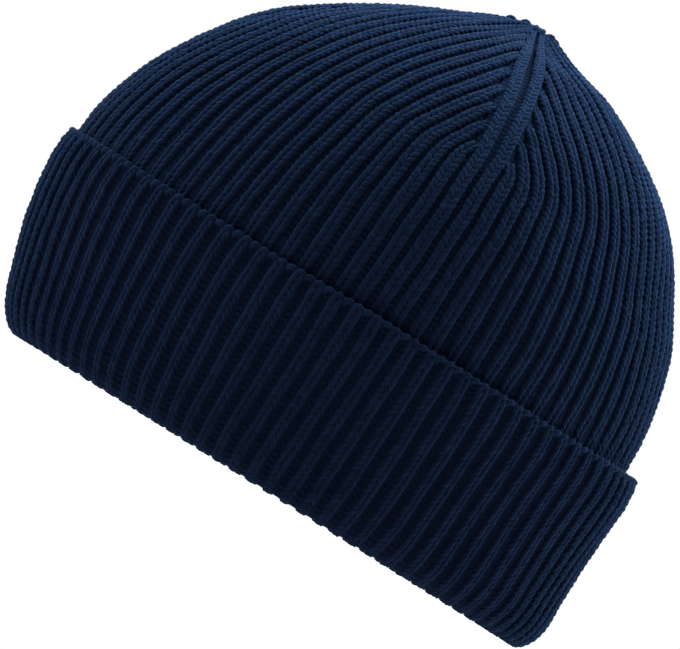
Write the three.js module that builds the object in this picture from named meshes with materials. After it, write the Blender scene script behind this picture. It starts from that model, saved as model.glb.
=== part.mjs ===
import * as THREE from "three";

// A knit hat in one-by-one rib: a crown that is gathered at the tip, and the lower end of the same
// tube turned up as a cuff. Millimetres, +Z up. X runs along the hat's long way and Y across it.
// The hat stands on the fold of its cuff at z = 0, with the middle of its footprint at the origin.

// Driving dimensions
const knitWall = 4.0;
const layerGap = 0.3;
const doubleWall = 2 * knitWall + layerGap;
// The fold carries the crown's lower edge on a ledge at this height.
const foldLedge = 4.6;
const ribCount = 88;
const goreCount = 4;
const ribRelief = 1.3;
const tip = { x: 3.2, outside: 168.9, inside: 160.6 };

// The front spine of the crown stands this share of a turn to the right of the middle of the front.
const spineTurn = 0.02;
// The cuff's grooves lie this share of a rib to the left of the crown's.
const cuffRibShift = -0.28;
// The right half of each section is this much deeper than an ellipse, and the left half shallower.
const sectionSkew = 0.05;

// Level sections through the rib crests of the crown, from the top edge of the cuff to the tip.
// left and right are measured from x = 0, and depth is half of the section across the hat.
const crownSections = [
  { height: 66.0, left: 101.7, right: 99.8, depth: 80.0 },
  { height: 75.0, left: 100.8, right: 99.4, depth: 80.0 },
  { height: 86.0, left: 98.0, right: 97.5, depth: 79.0 },
  { height: 95.0, left: 94.8, right: 95.0, depth: 77.5 },
  { height: 104.0, left: 90.2, right: 91.8, depth: 75.0 },
  { height: 115.0, left: 83.1, right: 85.8, depth: 70.8 },
  { height: 124.0, left: 75.9, right: 80.6, depth: 66.0 },
  { height: 131.0, left: 68.9, right: 75.7, depth: 61.0 },
  { height: 140.0, left: 56.9, right: 67.2, depth: 53.5 },
  { height: 147.0, left: 46.0, right: 58.0, depth: 45.5 },
  { height: 152.0, left: 37.4, right: 49.6, depth: 38.5 },
  { height: 156.0, left: 29.8, right: 42.4, depth: 32.0 },
  { height: 160.0, left: 20.6, right: 33.0, depth: 24.2 },
  { height: 163.0, left: 14.8, right: 21.8, depth: 16.6 },
  { height: 165.5, left: 9.4, right: 14.4, depth: 10.8 },
  { height: 167.4, left: 3.8, right: 10.2, depth: 6.4 },
];

// Level sections through the rib crests of the cuff, before its fold and its top edge are rounded.
const cuffSections = [
  { height: 0.0, left: 91.0, right: 103.6, depth: 78.5 },
  { height: 9.0, left: 94.3, right: 104.2, depth: 80.0 },
  { height: 20.0, left: 98.0, right: 104.4, depth: 81.5 },
  { height: 32.0, left: 101.4, right: 104.4, depth: 82.7 },
  { height: 44.0, left: 103.9, right: 105.0, depth: 83.6 },
  { height: 55.0, left: 105.1, right: 105.6, depth: 84.2 },
  { height: 65.3, left: 105.1, right: 105.1, depth: 84.0 },
];

// The way round the wall of the cuff: its outside from the fold up, its rounded top edge, its inside
// down to the crown's lower edge, and the ledge and the round of the fold under that edge. inset is
// measured from the cuff's section, and ribs is the share of the full relief that shows there.
const cuffWalk = [
  { height: 0.0, inset: 5.4, ribs: 0.5 },
  { height: 1.2, inset: 3.6, ribs: 1 },
  { height: 4.2, inset: 1.6, ribs: 1 },
  { height: 10.0, inset: 0.0, ribs: 1 },
  { height: 20.0, inset: 0.0, ribs: 1 },
  { height: 32.0, inset: 0.0, ribs: 1 },
  { height: 44.0, inset: 0.0, ribs: 1 },
  { height: 55.0, inset: 0.0, ribs: 1 },
  { height: 61.0, inset: 0.0, ribs: 1 },
  { height: 64.0, inset: 0.7, ribs: 0.8 },
  { height: 65.3, inset: 2.2, ribs: 0.4 },
  { height: 63.6, inset: 3.8, ribs: 0 },
  { height: 55.0, inset: knitWall, ribs: 0 },
  { height: 32.0, inset: knitWall, ribs: 0 },
  { height: 14.0, inset: knitWall, ribs: 0 },
  { height: foldLedge, inset: knitWall, ribs: 0 },
  { height: foldLedge, inset: doubleWall, ribs: 0 },
  { height: 1.6, inset: 8.6, ribs: 0 },
  { height: 0.0, inset: 7.6, ribs: 0 },
];

// Where the ribs of half a gore end on their way to the tip. Rib 1 runs beside the spine pair, and
// rib 10 beside the middle of the gore; rib 0 is the spine's own and runs on to the tip.
const halfGoreChart = [
  { rib: 1, endHeight: 128.4 },
  { rib: 2, endHeight: 134.7 },
  { rib: 3, endHeight: 141.8 },
  { rib: 4, endHeight: 148.4 },
  { rib: 5, endHeight: 153.6 },
  { rib: 6, endHeight: 157.9 },
  { rib: 7, endHeight: 161.2 },
  { rib: 8, endHeight: 163.6 },
  { rib: 9, endHeight: 137.5 },
  { rib: 10, endHeight: 107.0 },
];
// A rib narrows to nothing over this height below its end.
const ribTaper = 7.0;
// The groove between the two ribs of a spine is this much deeper than the others.
const spineDepth = 1.7;
// Near the tip, where ribs are narrow, the relief is this share of their width.
const narrowRelief = 0.28;

// The smooth rings of the crown: the lining side, and the outside where the cuff hides it.
const insideRings = [
  { height: 160.0, columns: 22 },
  { height: 152.0, columns: 44 },
  { height: 140.0, columns: 44 },
  { height: 124.0, columns: 88 },
  { height: 104.0, columns: 88 },
  { height: 86.0, columns: 88 },
  { height: 70.0, columns: 88 },
];
const hiddenHeights = [14.0, 32.0, 55.0, 63.0];

// How finely a section is walked to space the ribs evenly round it
const sectionSteps = 360;
// The stretch of height and of turn over which a surface normal is measured
const normalReach = { height: 1.0, turn: 0.002 };

function blendSection(sections, height) {
  const last = sections.length - 1;
  let upper = sections.findIndex((section) => section.height >= height);
  if (upper < 0) upper = last;
  if (upper === 0) upper = 1;
  const below = sections[upper - 1];
  const above = sections[upper];
  const share = (height - below.height) / (above.height - below.height);
  const mix = (column) => Math.max(below[column] + (above[column] - below[column]) * share, 0);
  return { height, left: mix("left"), right: mix("right"), depth: mix("depth") };
}

// One point of a section. The angle starts at the front, -Y, and runs towards +X.
function pointOnSection(section, angle) {
  const middle = (section.right - section.left) / 2;
  const halfWidth = (section.right + section.left) / 2;
  const side = Math.sin(angle);
  return new THREE.Vector3(
    middle + halfWidth * side,
    -section.depth * Math.cos(angle) * (1 + sectionSkew * side),
    section.height,
  );
}

const walkedSections = new Map();

// A section's outline with the length walked up to each of its points.
function walkSection(sections, height) {
  const name = `${sections === cuffSections ? "cuff" : "crown"} ${height.toFixed(4)}`;
  if (!walkedSections.has(name)) {
    const section = blendSection(sections, height);
    const walk = [{ point: pointOnSection(section, 0), length: 0 }];
    for (let step = 1; step <= sectionSteps; step += 1) {
      const point = pointOnSection(section, (step / sectionSteps) * 2 * Math.PI);
      const before = walk[step - 1];
      walk.push({ point, length: before.length + point.distanceTo(before.point) });
    }
    walkedSections.set(name, walk);
  }
  return walkedSections.get(name);
}

function perimeter(sections, height) {
  return walkSection(sections, height)[sectionSteps].length;
}

// The point at a share of the way round a section, measured along its outline.
function pointAt(sections, height, turn) {
  const walk = walkSection(sections, height);
  const wanted = (turn - Math.floor(turn)) * walk[sectionSteps].length;
  let low = 0;
  let high = sectionSteps;
  while (high - low > 1) {
    const middle = Math.floor((low + high) / 2);
    if (walk[middle].length <= wanted) low = middle;
    else high = middle;
  }
  const share = (wanted - walk[low].length) / (walk[high].length - walk[low].length);
  return walk[low].point.clone().lerp(walk[high].point, share);
}

// The same point moved into the wall, square to the surface.
function pointInWall(sections, height, turn, inset) {
  const { height: rise, turn: step } = normalReach;
  const up = pointAt(sections, height + rise, turn).sub(pointAt(sections, height - rise, turn));
  const along = pointAt(sections, height, turn + step).sub(pointAt(sections, height, turn - step));
  const normal = along.cross(up).normalize();
  return pointAt(sections, height, turn).addScaledVector(normal, -inset);
}

// A point moved level towards the axis, for the fold and the edges, whose heights are given.
function pointMovedLevel(sections, height, turn, inset) {
  const along = pointAt(sections, height, turn + normalReach.turn);
  along.sub(pointAt(sections, height, turn - normalReach.turn));
  const normal = new THREE.Vector3(along.y, -along.x, 0).normalize();
  return pointAt(sections, height, turn).addScaledVector(normal, -inset);
}

// A ring is a list of columns in order round the hat. A column's key is its place among the ribs,
// from 0 at the front spine to 1, by which it is joined to the ring above.
function smoothRing(columns, placePoint) {
  return Array.from({ length: columns }, (_, column) => {
    const key = column / columns;
    return { key, point: placePoint(key + spineTurn) };
  });
}

function ribWidth(rib, height) {
  const entry = halfGoreChart.find((row) => row.rib === rib);
  if (!entry) return 1;
  return THREE.MathUtils.clamp((entry.endHeight - height) / ribTaper, 0, 1);
}

// The crown's columns at one height: a groove and a crest for each rib that still runs there.
function crownRibs(height) {
  const ribsInGore = ribCount / goreCount;
  const half = ribsInGore / 2;
  const widths = Array.from({ length: ribsInGore }, (_, place) => {
    const rib = place < half ? place : ribsInGore - 1 - place;
    return ribWidth(rib, height);
  });
  const whole = widths.reduce((sum, width) => sum + width, 0);
  const pitch = perimeter(crownSections, height) / (goreCount * whole);
  const relief = Math.min(ribRelief, pitch * narrowRelief);
  const ring = [];
  for (let gore = 0; gore < goreCount; gore += 1) {
    let walked = 0;
    widths.forEach((width, place) => {
      if (width > 0) {
        const groove = place === 0 ? relief * spineDepth : relief * width;
        const grooveColumn = { part: 0, inset: groove };
        const crestColumn = { part: 0.5, inset: 0 };
        [grooveColumn, crestColumn].forEach(({ part, inset }) => {
          const turn = (gore + (walked + width * part) / whole) / goreCount + spineTurn;
          ring.push({
            key: (gore + (place + part) / ribsInGore) / goreCount,
            point: pointInWall(crownSections, height, turn, inset),
          });
        });
      }
      walked += width;
    });
  }
  return ring;
}

// Joins two rings with triangles, always going on along the ring whose next column comes first.
function joinRings(indices, lower, upper) {
  const lowerSteps = lower.length > 1 ? lower.length : 0;
  const upperSteps = upper.length > 1 ? upper.length : 0;
  const keyAfter = (ring, step, steps) => {
    if (step >= steps) return Infinity;
    return step + 1 < ring.length ? ring[step + 1].key : 1 + ring[0].key;
  };
  let low = 0;
  let high = 0;
  while (low < lowerSteps || high < upperSteps) {
    const lowerHere = lower[low % lower.length].index;
    const upperHere = upper[high % upper.length].index;
    if (keyAfter(lower, low, lowerSteps) <= keyAfter(upper, high, upperSteps)) {
      low += 1;
      indices.push(lowerHere, lower[low % lower.length].index, upperHere);
    } else {
      high += 1;
      indices.push(lowerHere, upper[high % upper.length].index, upperHere);
    }
  }
}

// A closed skin through the rings in their order. An end ring of one column is a pole, and without
// poles the last ring is joined to the first.
function skin(rings) {
  const positions = [];
  rings.flat().forEach((column, index) => {
    column.index = index;
    positions.push(...column.point.toArray());
  });
  const indices = [];
  for (let place = 1; place < rings.length; place += 1) {
    joinRings(indices, rings[place - 1], rings[place]);
  }
  if (rings[0].length > 1) joinRings(indices, rings[rings.length - 1], rings[0]);
  const geometry = new THREE.BufferGeometry();
  geometry.setAttribute("position", new THREE.Float32BufferAttribute(positions, 3));
  geometry.setIndex(indices);
  geometry.computeVertexNormals();
  return geometry;
}

function pole(height) {
  return [{ key: 0, point: new THREE.Vector3(tip.x, 0, height) }];
}

// The crown: from its inside at the tip down to the lower edge, and up its outside to the tip.
function crownGeometry() {
  const outerInset = knitWall + layerGap;
  const lowerEdge = foldLedge + layerGap;
  const underCuff = (height, inset) =>
    smoothRing(ribCount, (turn) => pointMovedLevel(cuffSections, height, turn, inset));
  const inside = insideRings.map(({ height, columns }) =>
    smoothRing(columns, (turn) => pointInWall(crownSections, height, turn, knitWall)),
  );
  const insideLow = [...hiddenHeights].reverse().map((height) => underCuff(height, doubleWall));
  const outsideLow = hiddenHeights.map((height) => underCuff(height, outerInset));
  const outside = crownSections.map(({ height }) => crownRibs(height));
  return skin([
    pole(tip.inside),
    ...inside,
    ...insideLow,
    underCuff(lowerEdge, doubleWall),
    underCuff(lowerEdge, outerInset),
    ...outsideLow,
    ...outside,
    pole(tip.outside),
  ]);
}

// The cuff: one closed loop of rings, ribbed outside and smooth where it faces the crown.
function cuffGeometry() {
  const shift = cuffRibShift / ribCount;
  const rings = cuffWalk.map(({ height, inset, ribs }) => {
    if (ribs === 0) {
      return smoothRing(ribCount, (turn) => pointMovedLevel(cuffSections, height, turn, inset));
    }
    let column = 0;
    return smoothRing(2 * ribCount, (turn) => {
      const groove = column % 2 === 0 ? ribRelief * ribs : 0;
      column += 1;
      return pointMovedLevel(cuffSections, height, turn + shift, inset + groove);
    });
  });
  return skin(rings);
}

const navyWool = { color: "#1a2b47", roughness: 0.95, metalness: 0 };

function piece(name, geometry) {
  const mesh = new THREE.Mesh(geometry, new THREE.MeshStandardMaterial(navyWool));
  mesh.name = name;
  return mesh;
}

const hat = new THREE.Group();
hat.add(piece("crown", crownGeometry()));
hat.add(piece("cuff", cuffGeometry()));

// The middle of the footprint goes to the origin.
const footprint = new THREE.Box3().setFromObject(hat);
const middle = footprint.getCenter(new THREE.Vector3());
hat.position.set(-middle.x, -middle.y, -footprint.min.z);

export default hat;
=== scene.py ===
import math
from collections import namedtuple

import bmesh
import bpy
import numpy as np
from mathutils import Matrix, Vector


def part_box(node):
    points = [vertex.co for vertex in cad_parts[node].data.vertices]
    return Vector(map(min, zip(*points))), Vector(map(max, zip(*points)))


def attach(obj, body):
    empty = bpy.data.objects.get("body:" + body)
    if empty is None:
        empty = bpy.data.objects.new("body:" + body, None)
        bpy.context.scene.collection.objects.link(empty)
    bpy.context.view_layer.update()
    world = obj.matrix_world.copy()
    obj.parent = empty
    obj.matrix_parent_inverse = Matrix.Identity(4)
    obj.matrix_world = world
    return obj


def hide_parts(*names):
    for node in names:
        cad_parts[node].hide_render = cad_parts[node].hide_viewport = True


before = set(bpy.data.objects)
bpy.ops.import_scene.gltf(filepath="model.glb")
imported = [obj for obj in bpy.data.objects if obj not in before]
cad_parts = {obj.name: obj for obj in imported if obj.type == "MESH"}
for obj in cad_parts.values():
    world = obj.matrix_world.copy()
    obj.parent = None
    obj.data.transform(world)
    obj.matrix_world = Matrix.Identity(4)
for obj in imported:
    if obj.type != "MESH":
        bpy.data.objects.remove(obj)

bl_info = {
    "name": "Rib-knit hat",
    "version": (1, 0, 0),
    "blender": (4, 5, 0),
    "location": "View3D > Sidebar > Knit hat",
    "description": "Knits a cuffed rib hat stitch by stitch over its solids, and lights it in a pale studio",
    "category": "Add Mesh",
}

MM = 0.001
BODY = "root"

# The knitting as the solids have it, in millimetres
RIB_COUNT = 88
GORE_COUNT = 4
RIBS_IN_GORE = RIB_COUNT // GORE_COUNT
HALF_GORE = RIBS_IN_GORE // 2
KNIT_WALL = 4.0
SPINE_TURN = 0.02
CUFF_RIB_SHIFT = -0.1
SECTION_SKEW = 0.05
TIP_HEIGHT = 168.9
TIP_X = 3.2
CUFF_HEIGHT = 65.0

Section = namedtuple("Section", "height left right depth")

# Level sections over the rib crests of the crown, from its lower edge inside the cuff to the tip
CROWN_SECTIONS = (
    Section(4.9, 88.5, 99.6, 75.0),
    Section(20.0, 93.7, 100.1, 77.2),
    Section(32.0, 97.1, 100.1, 78.4),
    Section(44.0, 99.6, 100.6, 79.3),
    Section(55.0, 100.7, 100.6, 79.8),
    Section(66.0, 101.7, 99.8, 80.0),
    Section(75.0, 100.8, 99.4, 80.0),
    Section(86.0, 98.0, 97.5, 79.0),
    Section(95.0, 94.8, 95.0, 77.5),
    Section(104.0, 90.2, 91.8, 75.0),
    Section(115.0, 83.1, 85.8, 70.8),
    Section(124.0, 75.9, 80.6, 66.0),
    Section(131.0, 68.9, 75.7, 61.0),
    Section(140.0, 56.9, 67.2, 53.5),
    Section(147.0, 46.0, 58.0, 45.5),
    Section(152.0, 37.4, 49.6, 38.5),
    Section(156.0, 29.8, 42.4, 32.0),
    Section(160.0, 20.6, 33.0, 24.2),
    Section(163.0, 14.8, 21.8, 16.6),
    Section(165.5, 9.4, 14.4, 10.8),
    Section(167.4, 3.8, 10.2, 6.4),
    Section(TIP_HEIGHT, -TIP_X, TIP_X, 0.0),
)

# Level sections over the rib crests of the cuff, before its fold and its top edge are rounded
CUFF_SECTIONS = (
    Section(0.0, 91.0, 103.6, 78.5),
    Section(9.0, 94.3, 104.2, 80.0),
    Section(20.0, 98.0, 104.4, 81.5),
    Section(32.0, 101.4, 104.4, 82.7),
    Section(44.0, 103.9, 105.0, 83.6),
    Section(55.0, 105.1, 105.6, 84.2),
    Section(66.0, 105.1, 105.1, 84.0),
)

Turnover = namedtuple("Turnover", "height inset")

# The way of the cuff's outer face: from inside the hat round the fold, up, and over the top edge
CUFF_WALK = (
    Turnover(9.0, 7.4),
    Turnover(6.5, 8.5),
    Turnover(3.6, 8.8),
    Turnover(1.1, 8.3),
    Turnover(0.0, 6.5),
    Turnover(0.8, 4.0),
    Turnover(3.0, 2.0),
    Turnover(6.0, 0.7),
    Turnover(10.0, 0.0),
    Turnover(20.0, 0.0),
    Turnover(40.0, 0.0),
    Turnover(58.0, 0.0),
    Turnover(61.5, 0.2),
    Turnover(63.8, 1.0),
    Turnover(CUFF_HEIGHT, 2.4),
    Turnover(64.2, 3.7),
    Turnover(61.5, 4.1),
    Turnover(56.0, 4.1),
)

RibRun = namedtuple("RibRun", "rib full_to ends_at")

# Heights to which the ribs of half a gore keep their width and at which they end, counted from the
# spine. Rib 0 is the spine's own and runs to the tip. Rib 10 is the gore's middle.
HALF_GORE_CHART = (
    RibRun(1, 122.0, 129.4),
    RibRun(2, 129.4, 136.0),
    RibRun(3, 136.0, 142.0),
    RibRun(4, 142.0, 148.4),
    RibRun(5, 148.4, 154.0),
    RibRun(6, 154.0, 160.0),
    RibRun(7, 160.0, 164.0),
    RibRun(8, 164.0, 166.2),
    RibRun(9, 166.2, 167.6),
    RibRun(10, 167.6, 168.4),
)
# How wide a rib stays where it goes under the next one, and how deep it goes
KEPT_WIDTH = 4.8
END_DIP = 1.6
# The share of its width down to which an ending rib is knitted, the least width of any rib, and how much
# smaller its last stitches are, over which share
LAST_SHARE = 0.28
LEAST_WIDTH = 2.2
LAST_SHRINK = 0.3
SHRINK_REACH = 0.25
# How much wider than the others the spine's ribs are near the tip, and between which heights they grow
SPINE_GROWTH = 0.3
SPINE_GROWS = (118.0, 135.0)
# The height above which the spines in front and behind stay upright although the crown leans
UPRIGHT_FROM = 127.0
# How much wider than even the ribs are drawn in front, and narrower behind, on the crown and the cuff
CROWN_STRETCH = 0.06
CUFF_STRETCH = 0.025
# The width of a groove between two ribs' yarn on the crown and on the cuff, and how close the middles of
# the spine's ribs are
GROOVE_WIDTH = 0.5
CUFF_GROOVE_WIDTH = 2.4
SPINE_RIB_PITCH = 6.5
# How far from the tip the ends of the spines' ribs are gathered, from the front one towards the right
GATHERED_AT = (4.6, 4.6, 7.0, 4.6, 6.0, 4.8, 9.3, 4.6)

Wave = namedtuple("Wave", "size around along start")

# The soft knitting's slack, in millimetres in or out, as waves round the hat and along its profile
SLACK_WAVES = (
    Wave(0.26, 3, 0.031, 0.7),
    Wave(0.20, 5, -0.052, 2.1),
    Wave(0.13, 11, 0.085, 4.0),
    Wave(0.09, 23, -0.14, 1.3),
)
# The swing of the ribs to their sides, in shares of a rib
SWAY_WAVES = (
    Wave(0.05, 4, 0.045, 0.4),
    Wave(0.04, 9, -0.09, 2.9),
    Wave(0.02, 31, 0.21, 5.1),
)
# The height over which the slack sets in above the floor, and where on the waves the cuff's swing starts
SLACK_SETS_IN = 14.0
CUFF_SWAY_START = 90.0

# Steps at which profiles, ribs and sections are traced, and over which the ribs' run is evened out
PROFILE_STEP = 0.25
LINE_STEP = 0.5
SECTION_STEPS = 720
EVENING = 3.0
# Steps along the profile and round the section between which a face's slope is read, how near to the
# profile's end it is read, and three lengths between which a single stitch's way is read
SLOPE_STEP = 0.6
SLOPE_TURN = 0.0015
SLOPE_MARGIN = 0.02
NEARBY = np.array([-1.0, 0.0, 1.0])
# Points of the ground that are closer than this become one, and edges shorter than this go
MERGED_WITHIN = 0.02
SHORT_EDGE = 0.005

# How a rib's ground is cut across: the share of its width, and the share of the groove's depth there
GROUND_CUT = ((0.0, 1.0), (0.13, 0.92), (0.3, 0.12), (0.5, 0.0), (0.7, 0.12), (0.87, 0.92))

# The ground under the stitches: its insets in the ribs, in the crown's and the cuff's grooves, where a rib
# has ended and at the cuff's fold, and how much deeper the groove between the spine's ribs is
RIB_INSET = 1.5
CROWN_GROOVE_INSET = 2.1
CUFF_GROOVE_INSET = 2.5
ENDED_INSET = 2.9
FOLD_INSET = 0.95
SPINE_GROOVE_DEPTH = 3.0
# The height over which that groove deepens, the width under which a rib's grooves are shallower, and the
# height inside the cuff from which the crown's grooves deepen, and over which they do
SPINE_DEEPENS = 10.0
NARROW_RIB = 5.0
GROOVES_FROM = 58.0
GROOVES_DEEPEN = 4.0
# The cuff's fold: the height up to which it is flattest, the height over which its ribs rise, and the share
# of their depth that its grooves keep
FOLD_FLAT_TO = 1.0
FOLD_RISES = 4.0
FOLD_GROOVES = 0.2
# The lengths over which the cuff's ribs begin and end inside the hat, how far before its end they are gone,
# and the share of their inset that stays there
RIBS_BEGIN = 6.0
RIBS_FADE = 5.0
RIBS_GONE = 9.0
KEPT_INSET = 0.35
# How much shallower the crown's grooves are where the cuff's edge presses on them, and how far above it
PRESSED_LIFT = 0.9
PRESSED_REACH = 10.0
# How far the purl bumps stand over the ground of the grooves
PURL_LIFT = 0.25

# Heights inside the cuff at which the crown's stitches and its purl bumps begin, and how far before the
# tip they end
STITCHES_FROM = 60.0
PURLS_FROM = 61.0
STITCHES_END = 1.5
PURLS_END = 6.0
# How far from the two ends of its way the cuff's stitches and its purl bumps begin and end
CUFF_STITCHES_IN = (3.0, 10.5)
CUFF_PURLS_IN = (12.0, 12.0)
# How deep the cuff's stitches sink at the fold, the share of their depth that its purl bumps keep there, and
# the height over which this ends
FOLD_SINK = 0.08
FOLD_PURLS = 0.5
FOLD_REACH = 6.0
# The least and the largest size of a stitch, and the share of its half width at which its yarn's middle is
LEAST_STITCH = 0.45
LEAST_CUFF_STITCH = 0.8
LARGEST_STITCH = 1.2
LEG_PLACE = 0.4
# Purl bumps: the share of its width that a rib beside them has, the rib pitch at which they have their full
# size, and their least size
PURL_SHARE = 0.6
FULL_PURL_PITCH = 6.6
LEAST_PURL = 0.6
# The cast-on loops: how far before the cuff's highest place they lie, how deep their yarn is, how thick it
# is and how long they are against the other stitches. Then the same of the gathered ends of ribs
EDGE_BEFORE_TOP = 1.2
EDGE_INSET = 1.0
EDGE_YARN = 1.08
EDGE_RISE = 0.95
GATHER_INSET = 1.0
GATHER_YARN = 1.2
GATHER_RISE = 1.1
# Where the groups of stitches after the crown's start counting their seeds
CUFF_SEEDS = 20
PURL_SEEDS = 40
EDGE_SEEDS = 50
GATHER_SEEDS = 60

# The rings of the ground: rows of knitting between them, those hidden by the cuff, those inside the crown,
# those of the cuff above its fold, and the height to which the fold's are close
RING_ROWS = 1.5
HIDDEN_RINGS = 8
INNER_RINGS = 26
CUFF_RINGS = 34
FOLD_TOP = 12.0
# How far before the tip the crown's outer and inner faces end, how deep under it they close, how deep the
# grooves are inside, and over which length they fade
OUTER_END = 1.2
INNER_END = 9.0
OUTER_CLOSES = 3.0
INNER_CLOSES = 8.5
INNER_GROOVE = 0.9
INNER_FADE = 30.0
# The cuff's back, which lies on the crown: shares of the way of its outer face, and depths under it
CUFF_BACK = ((0.85, 3.7), (0.65, 3.7), (0.4, 3.7), (0.2, 4.6))

# Fixed places in the studio, in metres
FLOOR_REACH = 30.0
SKY_PLACE = (0.0, 0.0, 2.0)
SOFTBOX_AIM = (0.0, 0.0, 0.08)
TOP_SOFTBOX_BACK = 0.06
SIDE_SOFTBOX_BACK = 0.05
SIDE_SOFTBOX_HEIGHT = 0.2
# How wide the overhead light is spread, and the directions' depth between which the background sets in
SKY_SPREAD = math.radians(80.0)
BACKGROUND_FROM = -0.1
BACKGROUND_FULL = 0.4


def hex_colour(code):
    """An sRGB hex value as linear red, green and blue."""
    channels = (int(code[place : place + 2], 16) / 255 for place in (1, 3, 5))
    return tuple(c / 12.92 if c <= 0.04045 else ((c + 0.055) / 1.055) ** 2.4 for c in channels)


# Lines and faces of the knit


def smooth_table(rows, reach):
    """Runs a smooth curve through a table's rows, spaced by reach, and returns it at even steps."""
    rows = np.array(rows, float)
    fine = np.linspace(0, reach[-1], int(reach[-1] / PROFILE_STEP) + 1)
    slopes = np.gradient(rows, reach, axis=0)
    first = np.clip(np.searchsorted(reach, fine, side="right") - 1, 0, len(rows) - 2)
    span = np.diff(reach)[first][:, None]
    t = (fine - reach[first])[:, None] / span
    return (
        (2 * t**3 - 3 * t**2 + 1) * rows[first]
        + (t**3 - 2 * t**2 + t) * span * slopes[first]
        + (3 * t**2 - 2 * t**3) * rows[first + 1]
        + (t**3 - t**2) * span * slopes[first + 1]
    )


def walked(points):
    """The length walked along a line of points, from its first point."""
    steps = np.linalg.norm(np.diff(points, axis=0), axis=1)
    return np.concatenate([[0.0], np.cumsum(steps)])


def sampled(marks, walk, values):
    """Values along a line, read at these marks of its walked length."""
    return np.stack([np.interp(marks, walk, column) for column in values.T], axis=-1)


def unit(vectors):
    return vectors / np.maximum(np.linalg.norm(vectors, axis=-1, keepdims=True), 1e-9)


def ease(value):
    """A soft step from 0 to 1."""
    value = np.clip(value, 0.0, 1.0)
    return value * value * (3 - 2 * value)


def section_outline(section):
    """Points round one level section, from the front towards the right, and the length walked."""
    _, left, right, depth = section
    angle = np.linspace(0, 2 * math.pi, SECTION_STEPS + 1)
    side = np.sin(angle)
    x = (right - left) / 2 + (right + left) / 2 * side
    y = -depth * np.cos(angle) * (1 + SECTION_SKEW * side)
    outline = np.stack([x, y], axis=1)
    return outline, walked(outline)


def evened(table):
    """A table's columns with their kinks rounded off along the rows."""
    reach = int(3 * EVENING / LINE_STEP)
    steps = np.arange(-reach, reach + 1) * LINE_STEP
    weights = np.exp(-0.5 * (steps / EVENING) ** 2)
    weights /= weights.sum()
    padded = np.pad(table, ((reach, reach), (0, 0)), mode="edge")
    return np.stack([np.convolve(column, weights, mode="valid") for column in padded.T], axis=1)


def waved(waves, length, turn):
    """The sum of waves at places on a knit."""
    around = 2 * math.pi * turn
    return sum(wave.size * np.sin(wave.around * around + wave.along * length + wave.start) for wave in waves)


def stretched(turn, amount):
    """Turns of places on a knit that is drawn wider in front than behind."""
    return turn + amount * np.sin(2 * math.pi * turn) / (2 * math.pi)


def pressed(height):
    """How much the cuff's edge lifts the ground of the crown's grooves at each height, as a column."""
    return PRESSED_LIFT * (1 - ease((height - CUFF_HEIGHT) / PRESSED_REACH))[:, None]


class KnitSurface:
    """A knitted face. A place on it is a length along its profile and a share of a turn round it."""

    def __init__(self, profile, line):
        self.profile = profile
        self.length = walked(line)
        self.total = self.length[-1]
        widest = max(CUFF_SECTIONS, key=lambda section: section.left + section.right)
        low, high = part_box("cuff")
        self.shift = (low[0] + high[0]) / 2 / MM - (widest.right - widest.left) / 2

    def at(self, lengths):
        """The profile's columns at these lengths."""
        return sampled(lengths, self.length, self.profile)

    def height(self, lengths):
        return self.at(lengths)[..., 0]

    def length_at(self, height):
        """The length at which a profile that rises steadily reaches a height."""
        return np.interp(height, self.profile[:, 0], self.length)

    def insets(self, lengths):
        """How deep the even face lies in its sections."""
        return np.zeros(len(lengths))

    def face(self, lengths, turns):
        """Points of the even face, for each length and its row of turns."""
        points = np.empty(turns.shape + (3,))
        for row, (length, inset) in enumerate(zip(lengths, self.insets(lengths))):
            section = self.section(length)
            outline, walk = section_outline(section)
            step = np.roll(outline[:-1], -1, axis=0) - np.roll(outline[:-1], 1, axis=0)
            outward = unit(np.stack([step[:, 1], -step[:, 0]], axis=1))
            moved = outline - np.concatenate([outward, outward[:1]]) * inset
            points[row, :, :2] = sampled(np.mod(turns[row], 1.0) * walk[-1], walk, moved)
            points[row, :, 0] += self.shift
            points[row, :, 2] = section[0]
        return points

    def points(self, lengths, turns, inset):
        """Points for each length and its row of turns, moved into the wall by inset."""
        return self.face(lengths, turns) - self.normals(lengths, turns) * inset[..., None]

    def normals(self, lengths, turns):
        """Outward normals, from short steps along the profile and round the section."""
        up = self.face(np.minimum(lengths + SLOPE_STEP, self.total - SLOPE_MARGIN), turns)
        up = up - self.face(np.maximum(lengths - SLOPE_STEP, 0.0), turns)
        along = self.face(lengths, turns + SLOPE_TURN) - self.face(lengths, turns - SLOPE_TURN)
        return unit(np.cross(along, up))

    def perimeter(self, lengths):
        """The length round the section at each length, as a column."""
        return np.array([[section_outline(self.section(length))[1][-1]] for length in lengths])

    def slack(self, lengths, turns):
        """How far the soft knitting stands in or out of its even form."""
        return waved(SLACK_WAVES, lengths[:, None], turns)


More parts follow.
